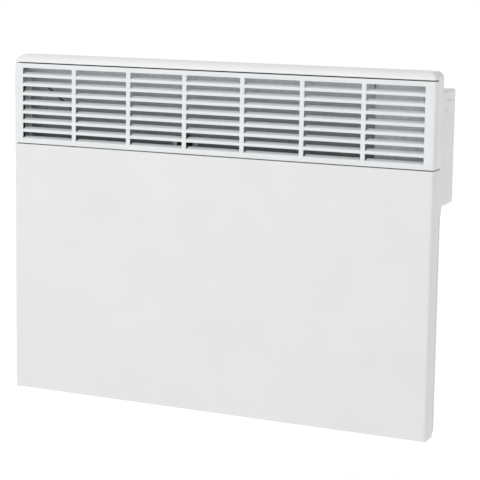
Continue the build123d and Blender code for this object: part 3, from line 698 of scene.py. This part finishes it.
class HEATER_OT_casing_finishes(Maker, bpy.types.Operator):
    """Finishes of the rear panel, the sheets inside the casing and the wall frame"""

    bl_idname = "heater.casing_finishes"
    bl_label = "Casing and frame finishes"

    def execute(self, context):
        coat = finish_of("Casing powder coat", powder_coat, tuple(self.colours(context).casing))
        dress(coat, "rear_panel")
        zinc = galvanised("Galvanised sheet", (0.62, 0.64, 0.65))
        dress(zinc, "inlet_guard", "element_brackets", "cutout_bracket", "pivot_hooks",
              "catch_fins")
        # The baffle's and the partition's colours fall with height as painted shade: darker low in
        # the casing, almost black at the top.
        levels = (336, 378, 390, 402, 420, 431, 435)
        dress(zinc_with_painted_shade("Baffle sheet with painted shade", (0.6, 0.649, 0.663), levels,
                          (0.4, 0.44, 0.56, 0.65, 0.95, 1.0, 0.12)), "air_baffle")
        dress(zinc_with_painted_shade("Partition sheet with painted shade", (0.65, 0.673, 0.675), levels,
                          (0.9, 0.9, 0.92, 0.97, 1.0, 1.0, 0.12)), "control_partition")
        dress(powder_coat("Frame powder coat", (0.74, 0.75, 0.75)),
              "wall_rail_left", "wall_rail_right", "crossbar_top", "crossbar_bottom")
        steel = plated("Zinc-plated steel", (0.72, 0.73, 0.74))
        dress(steel, "case_screws", "box_screws", "pcb_screws", "pivot_pins", "spring_clips",
              "clip_rivets", "earth_stud", "element_terminals")
        dress(rubber("Buffer rubber", (0.1, 0.1, 0.1)), "back_pads")
        return {"FINISHED"}


class HEATER_OT_element_finishes(Maker, bpy.types.Operator):
    """Finishes of the heating element and its leads"""

    bl_idname = "heater.element_finishes"
    bl_label = "Element and leads"

    def execute(self, context):
        dress(drawn_aluminium("Extruded aluminium", (0.7, 0.71, 0.72)), "element_body")
        dress(plated("Element rod steel", (0.5, 0.48, 0.46), 0.42), "element_rod")
        dress(ceramic("Ceramic", (0.86, 0.84, 0.78)), "element_bushes")
        dress(moulded("Cut-out phenolic", (0.05, 0.045, 0.04), 0.4), "thermal_cutout")
        dress(rubber("Brown silicone", (0.2, 0.09, 0.04), 0.5), "lead_live")
        dress(rubber("Black silicone", (0.025, 0.025, 0.027), 0.5), "lead_return")
        dress(rubber("Blue silicone", (0.04, 0.16, 0.42), 0.5), "lead_neutral")
        dress(striped_lead("Earth insulation", (0.12, 0.42, 0.1), (0.75, 0.65, 0.08)), "lead_earth")
        dress(rubber("Grey insulation", (0.3, 0.3, 0.3), 0.5), "lead_sensor", "supply_leads")
        dress(rubber("Grommet rubber", (0.05, 0.05, 0.05)), "lead_grommet")
        return {"FINISHED"}


class HEATER_OT_control_finishes(Maker, bpy.types.Operator):
    """Finishes of the control box, its keys and display, and the boards inside"""

    bl_idname = "heater.control_finishes"
    bl_label = "Control box finishes"

    def execute(self, context):
        white = tuple(self.colours(context).moulding)
        dress(moulded("Box plastic", white), "control_box", "control_cover")
        dress(moulded("Key plastic", times(white, 1.02), 0.42, 0.5, 0.004), "key_plus",
              "key_minus", "key_mode")
        dress(moulded("Gland plastic", times(white, 0.95), 0.45), "cable_gland")
        dress(dark_display("Display glass"), "display_window")
        dress(moulded("Display frame", (0.25, 0.27, 0.28)), "display_module")
        dress(lens("Lamp lens", (0.3, 0.31, 0.3)), "indicator_lamp")
        dress(circuit_board("Circuit board", (0.05, 0.2, 0.09)), "control_pcb", "power_pcb")
        dress(moulded("Relay plastic", (0.06, 0.14, 0.36), 0.4), "relay")
        dress(moulded("Black component", (0.04, 0.04, 0.045), 0.42), "power_triac",
              "switch_body", "tact_switches")
        dress(drawn_aluminium("Heatsink aluminium", (0.66, 0.67, 0.69), (1, 1, 0.05)),
              "triac_heatsink")
        dress(taped_winding("Transformer tape", (0.72, 0.6, 0.16)), "mains_transformer")
        dress(moulded("Capacitor sleeve", (0.05, 0.06, 0.1), 0.3), "smoothing_capacitor")
        dress(moulded("Terminal plastic", (0.84, 0.84, 0.8), 0.45), "terminal_block")
        dress(plated("Brass", (0.72, 0.58, 0.28), 0.28), "terminal_screws")
        dress(moulded("Sensor resin", (0.06, 0.06, 0.065), 0.35), "room_sensor")
        return {"FINISHED"}


class HEATER_OT_rocker(Maker, bpy.types.Operator):
    """The round-ended rocker: two finger hollows with a ridge between them, inside a rounded rim"""

    bl_idname = "heater.rocker"
    bl_label = "Rocker"

    def execute(self, context):
        # The round-ended outline is its spine plus a radius in each direction, and its face is
        # the lower of a flat and two cylinders, less the rim's quarter circle.
        middle_y, middle_z, height, rim = 58.6, 405.0, 6.0, 0.9
        straight, face, back = 8.5, 288.4, 277.5
        hollow_axis, hollow_radius, hollow_place = 300.8, 14.0, 7.6
        axle_x, axle_end, tilt = 282.0, 7.6, np.radians(7.0)
        ends = np.radians(np.linspace(-90, 90, 17))
        run = np.linspace(-1, 1, 15)[1:-1]
        spine = np.concatenate([np.full(17, 1.0), -run, np.full(17, -1.0), run]) * straight
        along = np.concatenate([np.cos(ends), 0 * run, -np.cos(ends), 0 * run])
        upward = np.concatenate([np.sin(ends), 1 + 0 * run, -np.sin(ends), -1 + 0 * run])
        inward = rim * (1 - np.cos(np.radians(np.linspace(0, 90, 6))))
        shares = np.concatenate([np.linspace(0, 1 - rim / height, 7)[:-1],
                                 1 - inward[::-1] / height])
        fall = rim * (1 - np.sin(np.radians(np.linspace(0, 90, 6))))
        drop = np.concatenate([np.zeros(6), fall[::-1]])
        y = spine + height * shares[:, None] * along
        z = height * shares[:, None] * upward
        hollow = hollow_axis - np.sqrt(hollow_radius**2 - (np.abs(y) - hollow_place) ** 2)
        x = np.minimum(face, hollow) - drop[:, None]
        sides = np.stack([np.full(y.shape[1], back), y[-1], z[-1]], -1)[None]
        closing = np.stack([np.full(y.shape[1], back), spine, 0 * spine], -1)[None]
        level = np.concatenate([np.stack([x, y, z], -1), sides, closing])
        turns = np.radians(np.linspace(0, 360, 25)[:-1])
        axle_radius = np.array([0, 1.3, 1.3, 0])[:, None]
        axle_z = np.array([-axle_end, -axle_end, axle_end, axle_end])[:, None]
        axle = np.stack([axle_x + axle_radius * np.cos(turns), axle_radius * np.sin(turns),
                         np.broadcast_to(axle_z, (4, len(turns)))], -1)
        parts = []
        for points in (level, axle):
            out, far = points[..., 0] - axle_x, points[..., 1].copy()
            placed = points.copy()
            placed[..., 0] = axle_x + out * np.cos(tilt) + far * np.sin(tilt)
            placed[..., 1] = middle_y - out * np.sin(tilt) + far * np.cos(tilt)
            placed[..., 2] += middle_z
            parts.append(grid(placed.transpose(1, 0, 2), close_rows=True))
        white = tuple(self.colours(context).moulding)
        plastic = finish_of("Key plastic", moulded, times(white, 1.02), 0.42, 0.5, 0.004)
        make("rocker_cap", parts, plastic, "rocker", ["rocker"], crease=60)
        return {"FINISHED"}


class HEATER_OT_marks(Maker, bpy.types.Operator):
    """Printed marks on the keys and beside them, and dark rings round the keys as painted shade
    of the gaps round them, each a thin raised film of ink
    """

    bl_idname = "heater.marks"
    bl_label = "Printed marks"

    def execute(self, context):
        ink = finish_of("Marking ink", moulded, tuple(self.colours(context).print_ink), 0.55)
        key_top, top, film = 424.13, 423.63, 0.03
        # A stroke that crosses another lies this much higher.
        over = 0.005
        for name in ("plus", "minus"):
            x, y = KEYS[name]
            bars = [ribbon([(x - 2, y), (x + 2, y)], 0.65, key_top)]
            if name == "plus":
                bars.append(ribbon([(x, y + 2), (x, y - 2)], 0.65, key_top + over))
            make(f"{name}_mark", bars, ink, f"{name}_key", thick=film)
        mode = [ring(KEYS["mode"], radius, 0.5, key_top) for radius in (1.1, 2.5, 3.8)]
        make("mode_mark", mode, ink, "mode_key", thick=film)
        rise = np.linspace(-1.8, 1.8, 15)
        waves = []
        for x in (223.1 - 1.5, 223.1, 223.1 + 1.5):
            wave = np.stack([x + 0.35 * np.sin(rise * 3.4), 61.8 + rise], -1)
            waves.append(ribbon(wave, 0.55, top))
        arrow_x = 220.1
        arrows = [ribbon([(arrow_x - 1.2, y), (arrow_x, y + side * 1.5), (arrow_x + 1.2, y)],
                         0.6, top) for y, side in ((66.2, 1), (57.1, -1))]
        power_x = 238.2
        power = [ribbon(arc((power_x, 63.7), 2.2, 125, 415, 30), 0.4, top),
                 ribbon([(power_x, 64.1), (power_x, 66.6)], 0.4, top + over)]
        dots = [ribbon([(x - 0.7, y), (x + 0.7, y)], 1.1, top)
                for x, y in ((204.6, 61.5), (208.6, 61.4))]
        # Dark rings round the keys: painted shade of the gaps between the keys and the cover.
        gap_shade_rings = [ring(place, 5.5, 0.28, top, 64) for place in KEYS.values()]
        make("panel_marks_and_gap_shade", [*waves, *arrows, *power, *dots, *gap_shade_rings], ink, "heater",
             thick=film)
        return {"FINISHED"}


class HEATER_OT_studio(Maker, bpy.types.Operator):
    """The pale floor, the soft light and the camera"""

    bl_idname = "heater.studio"
    bl_label = "Studio"

    def execute(self, context):
        scene, s = context.scene, context.scene.heater_studio
        scene.view_settings.view_transform = "Standard"
        radius, sides = 20, 64
        level = -DATUM[2] * MM - s.floor_drop
        turn = np.linspace(0, 2 * np.pi, sides + 1)[:-1]
        floor_mesh = bpy.data.meshes.new("floor")
        rim = np.stack([radius * np.cos(turn), radius * np.sin(turn), np.full(sides, level)], -1)
        floor_mesh.from_pydata(rim.tolist(), [], [list(range(sides))])
        pale = Finish("Pale floor", (0.85, 0.85, 0.85), 0.9)
        pale.shader.inputs["Emission Color"].default_value = (1, 1, 1, 1)
        pale.shader.inputs["Emission Strength"].default_value = 0.35
        floor_mesh.materials.append(pale.material)
        floor = bpy.data.objects.new("floor", floor_mesh)
        scene.collection.objects.link(floor)
        self.light(scene, s)
        self.camera(scene)
        return {"FINISHED"}

    def light(self, scene, s):
        """A white surround, darker to the right and high behind, and a soft lamp above the front.
        A shade goes from 1 to its brightness as the cosine to its direction goes from near to
        far."""
        world = bpy.data.worlds.new("Studio")
        world.use_nodes = True
        scene.world = world
        tree = world.node_tree
        background = tree.nodes["Background"]
        place = tree.nodes.new("ShaderNodeTexCoord")
        shades = []
        for way, near, far, shade in (((0.96, -0.25, 0.12), 0.15, 0.85, s.right_shade),
                                      ((0.3, 0.6, 0.75), 0.74, 0.95, s.rear_shade)):
            aim = tree.nodes.new("ShaderNodeVectorMath")
            aim.operation = "DOT_PRODUCT"
            aim.inputs[1].default_value = Vector(way).normalized()
            tree.links.new(place.outputs["Generated"], aim.inputs[0])
            fall = tree.nodes.new("ShaderNodeMapRange")
            fall.interpolation_type = "SMOOTHSTEP"
            for socket, number in zip(("From Min", "From Max", "To Min", "To Max"),
                                      (near, far, 1.0, shade)):
                fall.inputs[socket].default_value = number
            tree.links.new(aim.outputs["Value"], fall.inputs["Value"])
            shades.append(fall.outputs["Result"])
        both = tree.nodes.new("ShaderNodeMath")
        both.operation = "MULTIPLY"
        for socket, shade in zip(both.inputs, shades):
            tree.links.new(shade, socket)
        whole = tree.nodes.new("ShaderNodeMath")
        whole.operation = "MULTIPLY"
        whole.inputs[1].default_value = s.surround
        tree.links.new(both.outputs[0], whole.inputs[0])
        tree.links.new(whole.outputs[0], background.inputs["Strength"])
        background.inputs["Color"].default_value = (1, 1, 1, 1)
        stand, aimed_at = Vector((-0.4, -1.2, 1.05)), Vector((0, 0, 0.1))
        lamp = bpy.data.lights.new("Key light", "AREA")
        lamp.shape, lamp.size, lamp.energy = "DISK", 1.0, s.key_light
        lamp_object = bpy.data.objects.new("Key light", lamp)
        lamp_object.location = stand
        lamp_object.rotation_euler = (aimed_at - stand).to_track_quat("-Z", "Y").to_euler()
        scene.collection.objects.link(lamp_object)

    def camera(self, scene):
        """The camera of the photograph, from a fit to the slots, seams and corners."""
        data = bpy.data.cameras.new("Camera")
        data.sensor_width = 36.0
        data.lens = 124.8509
        data.shift_x, data.shift_y = 0.090373, -0.115873
        camera = bpy.data.objects.new("Camera", data)
        right = Vector((0.9057307, 0.4237122, 0.0109543))
        down = Vector((0.0698458, -0.1237123, -0.9898569))
        ahead = Vector((-0.4180593, 0.8973089, -0.1416446))
        turn = Matrix((right, -down, -ahead)).transposed()
        camera.matrix_world = Matrix.Translation((0.85809, -1.976938, 0.361887)) @ turn.to_4x4()
        scene.collection.objects.link(camera)
        scene.camera = camera


STEPS = (
    HEATER_OT_studio,
    HEATER_OT_front_panel,
    HEATER_OT_outlet_grille,
    HEATER_OT_top_shell,
    HEATER_OT_casing_finishes,
    HEATER_OT_element_finishes,
    HEATER_OT_control_finishes,
    HEATER_OT_rocker,
    HEATER_OT_marks,
)


class HEATER_PT_panel(bpy.types.Panel):
    """Lists the heater's pieces and their sizes"""

    bl_label = "Wall panel heater"
    bl_space_type = "VIEW_3D"
    bl_region_type = "UI"
    bl_category = "Heater"

    def draw(self, context):
        column = self.layout.column()
        for group in ("heater_sizes", "heater_colours", "heater_studio"):
            settings = getattr(context.scene, group)
            for name in type(settings).__annotations__:
                column.prop(settings, name)
        for step in STEPS:
            column.operator(step.bl_idname)


GROUPS = {
    "heater_sizes": HeaterSizes,
    "heater_colours": HeaterColours,
    "heater_studio": StudioSettings,
}


def register():
    for group, kind in GROUPS.items():
        bpy.utils.register_class(kind)
        setattr(bpy.types.Scene, group, bpy.props.PointerProperty(type=kind))
    for step in STEPS:
        bpy.utils.register_class(step)
    bpy.utils.register_class(HEATER_PT_panel)


def unregister():
    bpy.utils.unregister_class(HEATER_PT_panel)
    for step in reversed(STEPS):
        bpy.utils.unregister_class(step)
    for group, kind in reversed(GROUPS.items()):
        delattr(bpy.types.Scene, group)
        bpy.utils.unregister_class(kind)


def main():
    register()
    for step in STEPS:
        family, name = step.bl_idname.split(".")
        getattr(getattr(bpy.ops, family), name)()


if __name__ == "__main__":
    main()
